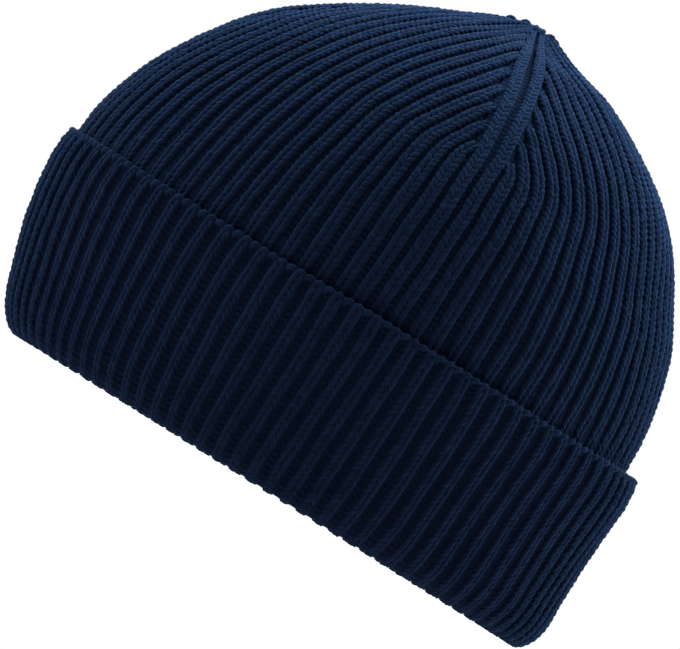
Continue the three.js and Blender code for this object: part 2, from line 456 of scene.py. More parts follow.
class CrownSurface(KnitSurface):
    """The crown, from its lower edge inside the cuff to the tip."""

    def __init__(self):
        rows = np.array(CROWN_SECTIONS)
        profile = smooth_table(rows, walked(self.slope_line(rows)))
        super().__init__(profile, self.slope_line(profile))
        self.lines = np.arange(0.0, self.total, LINE_STEP)
        shares = self.half_gore_shares()
        shares = evened(np.concatenate([shares, shares[:, ::-1]], axis=1))
        steps = np.cumsum(shares, axis=1)
        steps = steps / steps[:, -1:] / GORE_COUNT
        turns = [np.zeros((len(self.lines), 1))]
        turns += [steps + gore / GORE_COUNT for gore in range(GORE_COUNT)]
        turns = stretched(np.concatenate(turns, axis=1), CROWN_STRETCH) + SPINE_TURN
        turns -= self.lean() * np.cos(2 * math.pi * turns)
        self.edge_table = turns + waved(SWAY_WAVES, self.lines[:, None], turns) / RIB_COUNT
        self.share_table = np.tile(shares, (1, GORE_COUNT))

    def slope_line(self, rows):
        """The mean radius of each section over its height."""
        radius = (rows[:, 1] + rows[:, 2]) / 4 + rows[:, 3] / 2
        return np.stack([rows[:, 0], radius], axis=1)

    def half_gore_shares(self):
        """The widths of half a gore's ribs along the profile, as shares of a whole rib's."""
        shares = np.ones((len(self.lines), HALF_GORE))
        for run in HALF_GORE_CHART:
            full_to = self.length_at(run.full_to)
            ends_at = self.length_at(run.ends_at)
            shares[:, run.rib] = np.clip((ends_at - self.lines) / (ends_at - full_to), 0.0, 1.0)
        grows, grown = (self.length_at(height) for height in SPINE_GROWS)
        shares[:, 0] += SPINE_GROWTH * ease((self.lines - grows) / (grown - grows))
        return shares

    def lean(self):
        """How far the crown's middle moves to the right above the upright height, in shares of a turn."""
        sections = self.at(self.lines)
        middles = (sections[:, 2] - sections[:, 1]) / 2
        first = middles[int(np.argmin(np.abs(sections[:, 0] - UPRIGHT_FROM)))]
        moved = np.where(sections[:, 0] > UPRIGHT_FROM, middles - first, 0.0)
        return moved[:, None] / np.maximum(self.perimeter(self.lines), 1.0)

    def section(self, length):
        return self.at(length)

    def rib_edges(self, lengths):
        """The turns at which the ribs begin, one row per length, and one more to close the row."""
        return sampled(lengths, self.lines, self.edge_table)

    def rib_shares(self, lengths):
        """The ribs' widths, as shares of a whole rib's."""
        return sampled(lengths, self.lines, self.share_table)

    def rib_centres(self, lengths):
        """Turns of the ribs' centre lines, and their widths in millimetres.

        A rib that comes to its end keeps its width and goes under its neighbour on the spine's side.
        """
        edges = self.rib_edges(lengths)
        around = self.perimeter(lengths)
        width = np.diff(edges, axis=1) * around
        place = np.arange(RIB_COUNT) % RIBS_IN_GORE
        spine_rib = (place == 0) | (place == RIBS_IN_GORE - 1)
        kept = np.minimum(KEPT_WIDTH, width.max(axis=1, keepdims=True))
        width = np.where(spine_rib, width, np.maximum(width, kept))
        reach = np.where(spine_rib, np.minimum(width, SPINE_RIB_PITCH), width) / 2 / around
        far_side = np.where(spine_rib, place != 0, place < HALF_GORE)
        return np.where(far_side, edges[:, 1:] - reach, edges[:, :-1] + reach), width


class CuffSurface(KnitSurface):
    """The cuff's outer face, from inside the hat round the fold, up and over the top edge."""

    def __init__(self):
        rows = np.array(CUFF_WALK)
        profile = smooth_table(rows, walked(rows))
        super().__init__(profile, profile)

    def section(self, length):
        height = float(self.height(length))
        sections = np.array(CUFF_SECTIONS)
        return np.array([height, *sampled(height, sections[:, 0], sections[:, 1:])])

    def insets(self, lengths):
        return self.at(lengths)[..., 1]

    def rib_edges(self, lengths):
        """The turns at which the ribs begin. They stand upright in front although the cuff leans."""
        even = stretched((np.arange(RIB_COUNT + 1) + CUFF_RIB_SHIFT) / RIB_COUNT, CUFF_STRETCH) + SPINE_TURN
        sections = np.array([self.section(length) for length in lengths])
        lean = (sections[:, 2:3] - sections[:, 1:2]) / 2 / self.perimeter(lengths)
        turns = even - lean * np.cos(2 * math.pi * even)
        return turns + waved(SWAY_WAVES, lengths[:, None] + CUFF_SWAY_START, turns) / RIB_COUNT

    def slack(self, lengths, turns):
        """The soft form's slack, which ends where the fold rests on the floor."""
        return super().slack(lengths, turns) * ease(self.height(lengths)[:, None] / SLACK_SETS_IN)


# Meshes


def mesh_object(name, vertices, faces, uvs=None):
    """A plain object at the origin, with its mesh in metres and an optional UV map by face corner."""
    mesh = bpy.data.meshes.new(name)
    mesh.from_pydata((np.asarray(vertices) * MM).tolist(), [], faces)
    if uvs is not None:
        layer = mesh.uv_layers.new(name="knit_place")
        layer.data.foreach_set("uv", np.asarray(uvs, np.float32).ravel())
    mesh.validate()
    mesh.shade_smooth()
    thing = bpy.data.objects.new(name, mesh)
    bpy.context.scene.collection.objects.link(thing)
    return thing


def shell_object(name, rings, rows, poles=()):
    """A closed skin through rings of equal count, from pole to pole or round in a loop.

    Its UV map counts ribs across and rows of knitting along.
    """
    count, columns = rings.shape[:2]
    vertices = rings.reshape(-1, 3)
    if poles:
        vertices = np.concatenate([vertices, np.array(poles)])
    first, last = count * columns, count * columns + 1
    top = (count - 1) * columns
    faces = []
    uvs = []
    for ring in range(count - 1 if poles else count):
        above = (ring + 1) % count
        start, end = ring * columns, above * columns
        for column in range(columns):
            beside = (column + 1) % columns
            near, far = column / len(GROUND_CUT), (column + 1) / len(GROUND_CUT)
            faces.append((start + column, start + beside, end + beside, end + column))
            uvs += [(near, rows[ring]), (far, rows[ring]), (far, rows[above]), (near, rows[above])]
    for column in range(columns if poles else 0):
        beside = (column + 1) % columns
        near, far = column / len(GROUND_CUT), (column + 1) / len(GROUND_CUT)
        faces += [(first, beside, column), (last, top + column, top + beside)]
        uvs += [(near, rows[0]), (far, rows[0]), (near, rows[0])]
        uvs += [(near, rows[-1]), (near, rows[-1]), (far, rows[-1])]
    thing = mesh_object(name, vertices, faces, uvs)
    merge_doubles(thing)
    return thing


def merge_doubles(thing):
    """Joins the columns of ribs that have ended, and drops the faces that this flattens."""
    shape = bmesh.new()
    shape.from_mesh(thing.data)
    bmesh.ops.remove_doubles(shape, verts=shape.verts, dist=MERGED_WITHIN * MM)
    bmesh.ops.dissolve_degenerate(shape, edges=shape.edges, dist=SHORT_EDGE * MM)
    shape.to_mesh(thing.data)
    shape.free()


def claim(thing, *nodes):
    """The piece rides on the hat's body, and stands for nodes, which it hides."""
    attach(thing, BODY)
    if nodes:
        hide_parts(*nodes)


def ground_columns(edges):
    """Turns and groove shares of the ground's columns, six to a rib, for rows of rib edges."""
    width = np.diff(edges, axis=1)
    turns = np.stack([edges[:, :-1] + width * share for share, _ in GROUND_CUT], axis=-1)
    grooves = np.zeros_like(turns) + [groove for _, groove in GROUND_CUT]
    return turns.reshape(len(edges), -1), grooves.reshape(len(edges), -1)


# Geometry Nodes


def fill(tree, node, inputs):
    """Fills a node's inputs with values or sockets, by name or place, or as a row for the first ones."""
    for name, value in inputs.items() if isinstance(inputs, dict) else enumerate(inputs):
        if isinstance(value, bpy.types.NodeSocket):
            tree.links.new(value, node.inputs[name])
        else:
            node.inputs[name].default_value = value


def add_node(tree, kind, inputs=(), output=0, **settings):
    """Adds a node, sets its properties, fills its inputs, and gives one of its outputs."""
    node = tree.nodes.new(kind)
    for name, value in settings.items():
        setattr(node, name, value)
    fill(tree, node, inputs)
    return node.outputs[output] if node.outputs else None


# How thick a stitch's yarn is along it: places and shares of its radius
YARN_BULGE = ((0.0, 0.6), (0.25, 0.95), (0.5, 1.0), (0.75, 0.95), (1.0, 0.6))


def yarn_piece(tree, points, radius, sides, steps):
    """A short length of yarn along four points, thin at its hidden ends, with its own yarn_uv."""
    bends = dict(zip(("Start", "Start Handle", "End Handle", "End"), points), Resolution=steps)
    path = add_node(tree, "GeometryNodeCurvePrimitiveBezierSegment", bends, mode="POSITION")
    along = add_node(tree, "GeometryNodeSplineParameter", output="Factor")
    bulge = add_node(tree, "ShaderNodeFloatCurve", {"Value": along})
    curve = bulge.node.mapping.curves[0]
    curve.points[0].location = YARN_BULGE[0]
    curve.points[1].location = YARN_BULGE[-1]
    for place in YARN_BULGE[1:-1]:
        curve.points.new(*place)
    bulge.node.mapping.update()
    thickness = add_node(tree, "ShaderNodeMath", (bulge, radius), operation="MULTIPLY")
    circle = {"Resolution": sides, "Radius": 1.0}
    ring = add_node(tree, "GeometryNodeCurvePrimitiveCircle", circle, mode="RADIUS")
    around = add_node(tree, "GeometryNodeSplineParameter", output="Factor")
    kept = {}
    for line, fields in ((path, {"Along": along, "Thickness": thickness}), (ring, {"Around": around})):
        keeper = add_node(tree, "GeometryNodeCaptureAttribute", {"Geometry": line}).node
        for label, field in fields.items():
            keeper.capture_items.new("FLOAT", label)
            tree.links.new(field, keeper.inputs[label])
            kept[label] = keeper.outputs[label]
        kept[line] = keeper.outputs["Geometry"]
    skin = {"Curve": kept[path], "Profile Curve": kept[ring], "Scale": kept["Thickness"], "Fill Caps": True}
    tube = add_node(tree, "GeometryNodeCurveToMesh", skin)
    place = add_node(tree, "ShaderNodeCombineXYZ", (kept["Around"], kept["Along"]))
    stored = {"Geometry": tube, "Name": "yarn_uv", "Value": place}
    return add_node(tree, "GeometryNodeStoreNamedAttribute", stored, data_type="FLOAT2", domain="CORNER")


Stitch = namedtuple("Stitch", "way both_sides sides steps")

# The sizes that a stitch tree takes. The first three scale the yarn's way, in this order.
STITCH_SIZES = ("Half width", "Rise", "Yarn radius", "Unevenness")

# The ways of the yarn, in shares of the stitch's half width across, of its rise along and of the
# yarn's radius outwards. Each is a curve's start, its two handles and its end. Then it says whether the
# stitch has two such legs, mirrored, and how many sides and steps the yarn has.
# One leg of a knit stitch, from the stitch below, over its shoulder, behind the stitch above
KNIT_LEG = ((0.1, -0.8, -0.35), (0.34, -0.35, 0.5), (0.54, 0.2, 0.45), (0.44, 0.85, -0.6))
KNIT_STITCH = Stitch(KNIT_LEG, True, 5, 4)
# A purl bump across the groove
PURL_STITCH = Stitch(((-1.0, -0.2, -1.2), (-0.5, 0.3, 0.6), (0.5, 0.3, 0.6), (1.0, -0.2, -1.2)), False, 3, 2)
# A loop of the cast-on edge, lying along it
EDGE_STITCH = Stitch(((-0.6, -0.2, -0.9), (-0.4, -0.2, 0.9), (0.4, 0.2, 0.9), (0.6, 0.2, -0.9)), False, 6, 5)
# A rib's end, drawn together at the tip
GATHER_STITCH = Stitch(((0.0, -0.8, -0.9), (-0.1, -0.5, 0.8), (0.1, 0.4, 0.8), (0.0, 0.7, -0.9)), False, 8, 6)


def stitch_tree(name, stitch):
    """A tree that puts one stitch on every point, turned and sized by what the point carries."""
    tree = bpy.data.node_groups.new(name, "GeometryNodeTree")
    tree.interface.new_socket("Geometry", in_out="OUTPUT", socket_type="NodeSocketGeometry")
    kinds = {"Geometry": "Geometry", "Seed": "Int", "Material": "Material"}
    for label in ("Geometry", *STITCH_SIZES, "Seed", "Material"):
        kind = "NodeSocket" + kinds.get(label, "Float")
        tree.interface.new_socket(label, in_out="INPUT", socket_type=kind)
    sizes = tree.nodes.new("NodeGroupInput").outputs
    points = []
    for bend in stitch.way:
        parts = [
            add_node(tree, "ShaderNodeMath", (sizes[label], share), operation="MULTIPLY")
            for label, share in zip(STITCH_SIZES, bend)
        ]
        points.append(add_node(tree, "ShaderNodeCombineXYZ", parts))
    yarn = yarn_piece(tree, points, sizes["Yarn radius"], stitch.sides, stitch.steps)
    if stitch.both_sides:
        other = add_node(tree, "GeometryNodeTransform", {"Geometry": yarn, "Scale": (-1.0, 1.0, 1.0)})
        other = add_node(tree, "GeometryNodeFlipFaces", {"Mesh": other})
        both = add_node(tree, "GeometryNodeJoinGeometry", (yarn,))
        tree.links.new(other, both.node.inputs[0])
        yarn = both
    outward, across, span = (
        add_node(tree, "GeometryNodeInputNamedAttribute", {"Name": label}, data_type="FLOAT_VECTOR")
        for label in ("outward", "across", "span")
    )
    axes = {"Primary Axis": outward, "Secondary Axis": across}
    turn = add_node(tree, "FunctionNodeAxesToRotation", axes, primary_axis="Z", secondary_axis="X")
    chance = {0: (-1.0, -1.0, -1.0), 1: (1.0, 1.0, 1.0), "Seed": sizes["Seed"]}
    lean = add_node(tree, "FunctionNodeRandomValue", chance, data_type="FLOAT_VECTOR")
    lean = {0: lean, "Scale": sizes["Unevenness"]}
    lean = add_node(tree, "ShaderNodeVectorMath", lean, operation="SCALE")
    lean = add_node(tree, "FunctionNodeEulerToRotation", {"Euler": lean})
    turn = {"Rotation": turn, "Rotate By": lean}
    turn = add_node(tree, "FunctionNodeRotateRotation", turn, rotation_space="LOCAL")
    setting = {"Points": sizes["Geometry"], "Instance": yarn, "Rotation": turn, "Scale": span}
    knitted = add_node(tree, "GeometryNodeInstanceOnPoints", setting)
    shade = add_node(tree, "FunctionNodeRandomValue", {2: 0.0, 3: 1.0, "Seed": sizes["Seed"]}, output=1)
    stored = {"Geometry": knitted, "Name": "stitch_shade", "Value": shade}
    knitted = add_node(tree, "GeometryNodeStoreNamedAttribute", stored, data_type="FLOAT", domain="INSTANCE")
    real = add_node(tree, "GeometryNodeRealizeInstances", {"Geometry": knitted})
    smooth = add_node(tree, "GeometryNodeSetShadeSmooth", {"Geometry": real})
    coloured = {"Geometry": smooth, "Material": sizes["Material"]}
    add_node(tree, "NodeGroupOutput", (add_node(tree, "GeometryNodeSetMaterial", coloured),))
    return tree


Stitches = namedtuple("Stitches", "place outward across span rib")

# The share of its thickness that the yarn keeps on the narrowest ribs, and the fewest steps of a rib's line
THIN_YARN = 0.4
SHORTEST_RUN = 4


def set_stitches(surface, lengths, turns, inset, widths, alive, pitch, upside_down=False):
    """Walks along each rib and sets a stitch every pitch.

    Rows are lengths and columns are ribs. A rib is followed up to where it is no longer alive.
    """
    lines = surface.points(lengths, turns, inset)
    outward = surface.normals(lengths, turns)
    found = []
    for rib in range(turns.shape[1]):
        rows = int(np.argmin(np.append(alive[:, rib], False)))
        if rows < SHORTEST_RUN:
            continue
        line = lines[:rows, rib]
        walk = walked(line)
        marks = np.arange(pitch / 2, walk[-1], pitch)
        ahead = sampled(marks + pitch / 2, walk, line) - sampled(marks - pitch / 2, walk, line)
        out = unit(sampled(marks, walk, outward[:rows, rib]))
        across = unit(np.cross(ahead, out)) * (-1 if upside_down else 1)
        wide = np.interp(marks, walk, widths[:rows, rib])
        thick = THIN_YARN + (1 - THIN_YARN) * np.minimum(wide, 1.0)
        span = np.stack([wide, np.ones_like(wide), thick], axis=-1)
        found.append((sampled(marks, walk, line), out, across, span, np.full(len(marks), rib)))
    return Stitches(*(np.concatenate(part) for part in zip(*found)))


def single_stitches(surface, lengths, turns, inset):
    """Sets one stitch at each turn, in the middle of three lengths."""
    lines = surface.points(lengths, turns, inset)
    outward = surface.normals(lengths, turns)[1]
    across = unit(np.cross(lines[2] - lines[0], outward))
    return Stitches(lines[1], outward, across, np.ones_like(across), np.arange(len(across)))


def knit(name, tree, stitches, sizes, material, seed, chosen=slice(None)):
    """Runs a stitch tree over the chosen stitches and leaves them as one plain mesh."""
    cloud = bpy.data.meshes.new(name)
    cloud.from_pydata((stitches.place[chosen] * MM).tolist(), [], [])
    for label in ("outward", "across", "span"):
        field = cloud.attributes.new(label, "FLOAT_VECTOR", "POINT")
        values = getattr(stitches, label)[chosen]
        field.data.foreach_set("vector", np.ascontiguousarray(values, np.float32).ravel())
    points = bpy.data.objects.new(name, cloud)
    bpy.context.scene.collection.objects.link(points)
    modifier = points.modifiers.new("knitting", "NODES")
    modifier.node_group = tree
    settings = dict(sizes, Seed=seed, Material=material)
    for item in tree.interface.items_tree:
        if item.item_type == "SOCKET" and item.in_out == "INPUT" and item.name in settings:
            modifier[item.identifier] = settings[item.name]
    depsgraph = bpy.context.evaluated_depsgraph_get()
    mesh = bpy.data.meshes.new_from_object(points.evaluated_get(depsgraph))
    points.modifiers.remove(modifier)
    points.data = mesh
    bpy.data.meshes.remove(cloud)
    mesh.name = name
    if not mesh.polygons:
        raise RuntimeError(f"{name} has no stitches")
    claim(points)


# Materials

WHITE = (1.0, 1.0, 1.0, 1.0)


def principled(name):
    """A new material, its node tree and its shader."""
    material = bpy.data.materials.new(name)
    material.use_nodes = True
    return material, material.node_tree, material.node_tree.nodes["Principled BSDF"]


def noise_scale(size):
    """The scale of a noise whose patches are about size wide, in millimetres."""
    return 1.0 / (size * MM)


def finish_wool(tree, shader, colour, height, depth, colours, strength):
    """Gives wool its colour, its relief and the halo of fibre ends: rough, hardly shiny, bluish."""
    bump = add_node(tree, "ShaderNodeBump", {"Height": height, "Strength": 0.4, "Distance": depth * MM})
    finish = {"Base Color": colour, "Normal": bump, "Roughness": 0.9, "Specular IOR Level": 0.05}
    halo = {"Sheen Weight": strength, "Sheen Roughness": colours.sheen_roughness}
    fill(tree, shader, finish | halo | {"Sheen Tint": (*colours.halo, 1.0)})


def wool_yarn(name, colours):
    """Worsted-spun wool blend, piece-dyed navy: matt, with a halo of fibre ends and a ply twist."""
    material, tree, shader = principled(name)
    shade = add_node(tree, "ShaderNodeAttribute", output="Fac", attribute_name="stitch_shade")
    place = add_node(tree, "ShaderNodeTexCoord", output="Object")
    # The dye takes unevenly in patches about 25 mm wide, and differs more from stitch to stitch
    dye = add_node(tree, "ShaderNodeTexNoise", {"Vector": place, "Scale": noise_scale(25.0)})
    dye = add_node(tree, "ShaderNodeMath", (dye, 0.3), operation="MULTIPLY")
    mixing = add_node(tree, "ShaderNodeMath", (shade, 0.7, dye), operation="MULTIPLY_ADD")
    shades = {0: mixing, 6: (*colours.yarn_dark, 1.0), 7: (*colours.yarn, 1.0)}
    yarn = add_node(tree, "ShaderNodeMix", shades, output=2, data_type="RGBA")
    # Single fibres and slubs are a fifth darker to a third lighter than the yarn. They are finer than the
    # render can show, so they are drawn 0.5 mm wide
    grain = {"Vector": place, "Scale": noise_scale(0.5), "Detail": 3.0, "Roughness": 0.7}
    fibre = add_node(tree, "ShaderNodeTexNoise", grain)
    lift = add_node(tree, "ShaderNodeMapRange", (fibre, 0.35, 0.75, 0.8, 1.3))
    yarn = add_node(tree, "ShaderNodeVectorMath", {0: yarn, "Scale": lift}, operation="SCALE")
    # Two plies twisted together, drawn with one and a half turns to a stitch leg
    uv = add_node(tree, "ShaderNodeAttribute", output="Vector", attribute_name="yarn_uv")
    around, along, _ = add_node(tree, "ShaderNodeSeparateXYZ", (uv,)).node.outputs
    twist = add_node(tree, "ShaderNodeMath", (along, 1.5, around), operation="MULTIPLY_ADD")
    twist = add_node(tree, "ShaderNodeMath", (twist, 2 * math.tau), operation="MULTIPLY")
    ply = add_node(tree, "ShaderNodeMath", (twist,), operation="SINE")
    height = add_node(tree, "ShaderNodeMath", (ply, 0.3, fibre), operation="MULTIPLY_ADD")
    finish_wool(tree, shader, yarn, height, 0.3, colours, colours.sheen)
    return material


def knit_ground_painted_shade(name, colours):
    """The ground of the rib, seen between stitches and inside: the same wool, felted a little, in painted
    shade: darker colours and a weaker halo than the stitches'.
    """
    material, tree, shader = principled(name)
    place = add_node(tree, "ShaderNodeTexCoord", output="Object")
    # Felted fibres lie in tufts about 0.9 mm wide
    grain = {"Vector": place, "Scale": noise_scale(0.9), "Detail": 4.0, "Roughness": 0.7}
    fibre = add_node(tree, "ShaderNodeTexNoise", grain)
    # Painted shade: the tufts mix the shade colour with the dark yarn, so the ground is darker than the
    # stitches
    shades = {0: fibre, 6: (*colours.yarn_painted_shade, 1.0), 7: (*colours.yarn_dark, 1.0)}
    wool = add_node(tree, "ShaderNodeMix", shades, output=2, data_type="RGBA")
    # The purl side's rows: one ridge to a row of knitting, which the UV map counts along its second axis
    uv = add_node(tree, "ShaderNodeUVMap", uv_map="knit_place")
    row = add_node(tree, "ShaderNodeSeparateXYZ", (uv,), output="Y")
    ridge = add_node(tree, "ShaderNodeMath", (row, math.tau), operation="MULTIPLY")
    ridge = add_node(tree, "ShaderNodeMath", (ridge,), operation="SINE")
    height = add_node(tree, "ShaderNodeMath", (ridge, 0.5, fibre), operation="MULTIPLY_ADD")
    # Painted shade: the ground's halo is weaker than the yarn's
    finish_wool(tree, shader, wool, height, 0.5, colours, colours.sheen * 0.7)
    return material


def light_table(name, colour, glow):
    """Opal acrylic of a photographer's light table: milky, matt, and lit a little from below."""
    material, tree, shader = principled(name)
    place = add_node(tree, "ShaderNodeTexCoord", output="Object")
    # The sheet is hardly uneven, in patches about 300 mm wide
    cloud = add_node(tree, "ShaderNodeTexNoise", {"Vector": place, "Scale": noise_scale(300.0)})
    tone = add_node(tree, "ShaderNodeMapRange", {0: cloud, 3: 0.985, 4: 1.0})
    milk = add_node(tree, "ShaderNodeVectorMath", {0: colour, "Scale": tone}, operation="SCALE")
    fill(tree, shader, {"Base Color": milk, "Roughness": 1.0, "Specular IOR Level": 0.0})
    fill(tree, shader, {"Emission Color": WHITE, "Emission Strength": glow})
    return material


# Sizes and colours


def number_property(label, text, default, **settings):
    return bpy.props.FloatProperty(name=label, description=text, default=default, **settings)


def length_property(label, text, default):
    return number_property(label, text, default * MM, unit="LENGTH")


def colour_property(label, text, code):
    return bpy.props.FloatVectorProperty(
        name=label, description=text, default=hex_colour(code), min=0.0, max=1.0, subtype="COLOR"
    )


class HatKnit(bpy.types.PropertyGroup):
    """Sizes of the knitting."""

    row_pitch: length_property("Row pitch", "Height of one row of stitches", 2.05)
    yarn_radius: length_property("Yarn radius", "Half the thickness of the yarn", 1.35)
    half_width: length_property("Half width", "From a rib's middle to its side", 2.25)
    stitch_inset: length_property("Stitch inset", "Depth of the yarn's middle under the crest", 1.4)
    purl_width: length_property("Purl width", "Half the width of a purl bump", 1.5)
    purl_radius: length_property("Purl radius", "Half the thickness of the yarn in the grooves", 0.65)
    unevenness: number_property("Unevenness", "How far stitches lean at random", 0.13, subtype="ANGLE")
    seed: bpy.props.IntProperty(name="Seed", description="Seed of the stitches' variation", default=7)


class HatColours(bpy.types.PropertyGroup):
    """Colours of the wool."""

    yarn: colour_property("Yarn", "The lighter stitches", "#141c32")
    yarn_dark: colour_property("Dark yarn", "The darker stitches", "#0c1427")
    # Painted shade: the ground in the grooves and inside the hat is mixed from this colour and the dark yarn,
    # darker than the stitches
    yarn_painted_shade: colour_property("Yarn in painted shade", "The ground in the grooves", "#0c1326")
    halo: colour_property("Halo", "Tint of the fibre halo", "#5cadff")
    sheen: number_property("Sheen", "Strength of the fibre halo", 0.1, min=0.0, max=1.0)
    sheen_roughness: number_property("Sheen roughness", "Spread of the fibre halo", 0.5, min=0.0, max=1.0)


class HatStage(bpy.types.PropertyGroup):
    """The studio and the camera."""

    aim: bpy.props.FloatVectorProperty(
        name="Aim",
        description="Where the camera looks",
        default=(-1.0 * MM, 0.0, 57.0 * MM),
        subtype="TRANSLATION",
        unit="LENGTH",
    )
    camera_height: length_property("Camera height", "Height of the camera over the floor", 6.0)
    distance: length_property("Distance", "From the camera to the hat", 8000.0)
    frame_width: length_property("Frame width", "Width of the picture at the hat", 211.5)
    roll: number_property("Roll", "Turn of the camera about its view", math.radians(32.0), subtype="ANGLE")
    sky_light: number_property("Sky", "Strength of the overhead light all over the floor", 0.2)
    top_light: number_property("Softbox", "Power of the softbox over the hat, in watts", 3.2)
    daylight: colour_property("Daylight", "Tint of the softboxes", "#cef0ff")
    softbox_height: length_property("Softbox height", "From the table to the softbox", 360.0)
    softbox_size: length_property("Softbox size", "Side of the softbox over the hat", 350.0)
    side_light: number_property("Side softboxes", "Power of each softbox beside the hat, in watts", 4.2)
    side_size: length_property("Side softbox size", "Side of the softboxes beside the hat", 650.0)
    side_reach: length_property("Side reach", "From the hat's middle to the softboxes beside it", 550.0)
    back_light: number_property("Background", "Strength of the light from behind and beside the hat", 1.5)
    front_light: number_property("Fill", "Strength of the light from the camera's side", 0.03)
    table: colour_property("Table", "Colour of the light table's opal acrylic", "#969696")
    table_light: number_property("Table light", "Strength of the table's own light from below", 0.83)


# Pieces


def rib_scale(sizes, width, groove_width, least):
    """The size of the stitches that fill ribs of these widths, as a share of the full stitch."""
    reach = (LEG_PLACE * sizes.half_width + sizes.yarn_radius) / MM
    return np.clip((width - groove_width) / 2 / reach, least, LARGEST_STITCH)


def stitch_sizes(sizes, half_width, yarn_radius, rise=1.0):
    """The inputs of a stitch tree. The rise is in rows of knitting."""
    return dict(zip(STITCH_SIZES, (half_width, sizes.row_pitch * rise, yarn_radius, sizes.unevenness)))


class HAT_OT_crown_wall(bpy.types.Operator):
    """Makes the crown's hollow wall, ribbed on both faces, under its stitches"""

    bl_idname = "knit_hat.crown_wall"
    bl_label = "Crown wall"

    def execute(self, context):
        surface = CrownSurface()
        pitch = context.scene.hat_knit.row_pitch / MM
        start, end = surface.length_at(STITCHES_FROM), surface.total - OUTER_END
        hidden = np.linspace(0.0, start, HIDDEN_RINGS)[:-1]
        outer_lengths = np.concatenate([hidden, np.arange(start, end, RING_ROWS * pitch), [end]])
        inner_lengths = np.linspace(0.0, surface.total - INNER_END, INNER_RINGS)
        inner = self.inner_face(surface, inner_lengths)[::-1]
        outer = self.outer_face(surface, outer_lengths)
        rows = np.concatenate([inner_lengths[::-1], outer_lengths]) / pitch
        tip_x = TIP_X + surface.shift
        poles = [(tip_x, 0.0, TIP_HEIGHT - depth) for depth in (INNER_CLOSES, OUTER_CLOSES)]
        crown = shell_object("crown_wall", np.concatenate([inner, outer]), rows, poles)
        # The ground takes painted shade: it is coloured darker than the stitches
        crown.data.materials.append(knit_ground_painted_shade("wool rib ground in painted shade, crown", context.scene.hat_colours))
        claim(crown, "crown")
        return {"FINISHED"}

    def outer_face(self, surface, lengths):
        """Rings under the stitches: ribs and grooves, sunk where a rib has ended and beside the spines."""
        edges = surface.rib_edges(lengths)
        turns, grooves = ground_columns(edges)
        height = surface.height(lengths)
        on_spine = ease((height - SPINE_GROWS[0]) / SPINE_DEEPENS)[:, None]
        for beside in (-1, 0, 1):
            columns = (np.arange(GORE_COUNT) * RIBS_IN_GORE * len(GROUND_CUT) + beside) % grooves.shape[1]
            grooves[:, columns] *= 1 + (SPINE_GROOVE_DEPTH - 1) * on_spine
        widths = np.diff(edges, axis=1) * surface.perimeter(lengths)
        narrow = np.repeat(np.clip(widths / NARROW_RIB, 0.0, 1.0), len(GROUND_CUT), axis=1)
        seen = ease((height - GROOVES_FROM) / GROOVES_DEEPEN)[:, None]
        ended = np.repeat(1 - np.clip(surface.rib_shares(lengths), 0.0, 1.0), len(GROUND_CUT), axis=1)
        groove = (CROWN_GROOVE_INSET - RIB_INSET) * grooves * narrow
        sunk = np.maximum(groove, (ENDED_INSET - RIB_INSET) * ended)
        inset = RIB_INSET + (sunk - pressed(height) * grooves) * seen
        return surface.points(lengths, turns, inset + surface.slack(lengths, turns))

    def inner_face(self, surface, lengths):
        """Rings inside, with grooves behind the outer ribs that fade towards the tip."""
        turns, grooves = ground_columns(surface.rib_edges(lengths) + 0.5 / RIB_COUNT)
        inset = KNIT_WALL - INNER_GROOVE * grooves * ease((lengths[-1] - lengths) / INNER_FADE)[:, None]
        return surface.points(lengths, turns, inset)


class HAT_OT_cuff_wall(bpy.types.Operator):
    """Makes the cuff's wall with its fold and its rounded top edge, under its stitches"""

    bl_idname = "knit_hat.cuff_wall"
    bl_label = "Cuff wall"

    def execute(self, context):
        surface = CuffSurface()
        pitch = context.scene.hat_knit.row_pitch / MM
        fold_end = surface.length_at(FOLD_TOP)
        fold = np.arange(0.0, fold_end, pitch)
        lengths = np.concatenate([fold, np.linspace(fold_end, surface.total, CUFF_RINGS)])
        turns, grooves = ground_columns(surface.rib_edges(lengths))
        # The ribs and grooves flatten under the fold, and run out at both ends inside the hat
        above_fold = ease((surface.height(lengths) - FOLD_FLAT_TO) / FOLD_RISES)
        start = ease(lengths / RIBS_BEGIN)
        end = ease((surface.total - RIBS_GONE - lengths) / RIBS_FADE)
        rib = (FOLD_INSET + (RIB_INSET - FOLD_INSET) * above_fold) * start * np.maximum(end, KEPT_INSET)
        depth = FOLD_GROOVES + (1 - FOLD_GROOVES) * above_fold
        groove = (CUFF_GROOVE_INSET - RIB_INSET) * depth * start * end
        inset = rib[:, None] + groove[:, None] * grooves
        outer = surface.points(lengths, turns, inset + surface.slack(lengths, turns))
        back_shares, back_depths = np.array(CUFF_BACK).T
        back_lengths = back_shares * surface.total
        back_turns = np.tile(turns[:1], (len(CUFF_BACK), 1))
        back = surface.points(back_lengths, back_turns, np.tile(back_depths[:, None], back_turns.shape[1]))
        rows = np.concatenate([lengths, back_lengths]) / pitch
        cuff = shell_object("cuff_wall", np.concatenate([outer, back]), rows)
        # The ground takes painted shade: it is coloured darker than the stitches
        cuff.data.materials.append(knit_ground_painted_shade("wool rib ground in painted shade, cuff", context.scene.hat_colours))
        claim(cuff, "cuff")
        return {"FINISHED"}


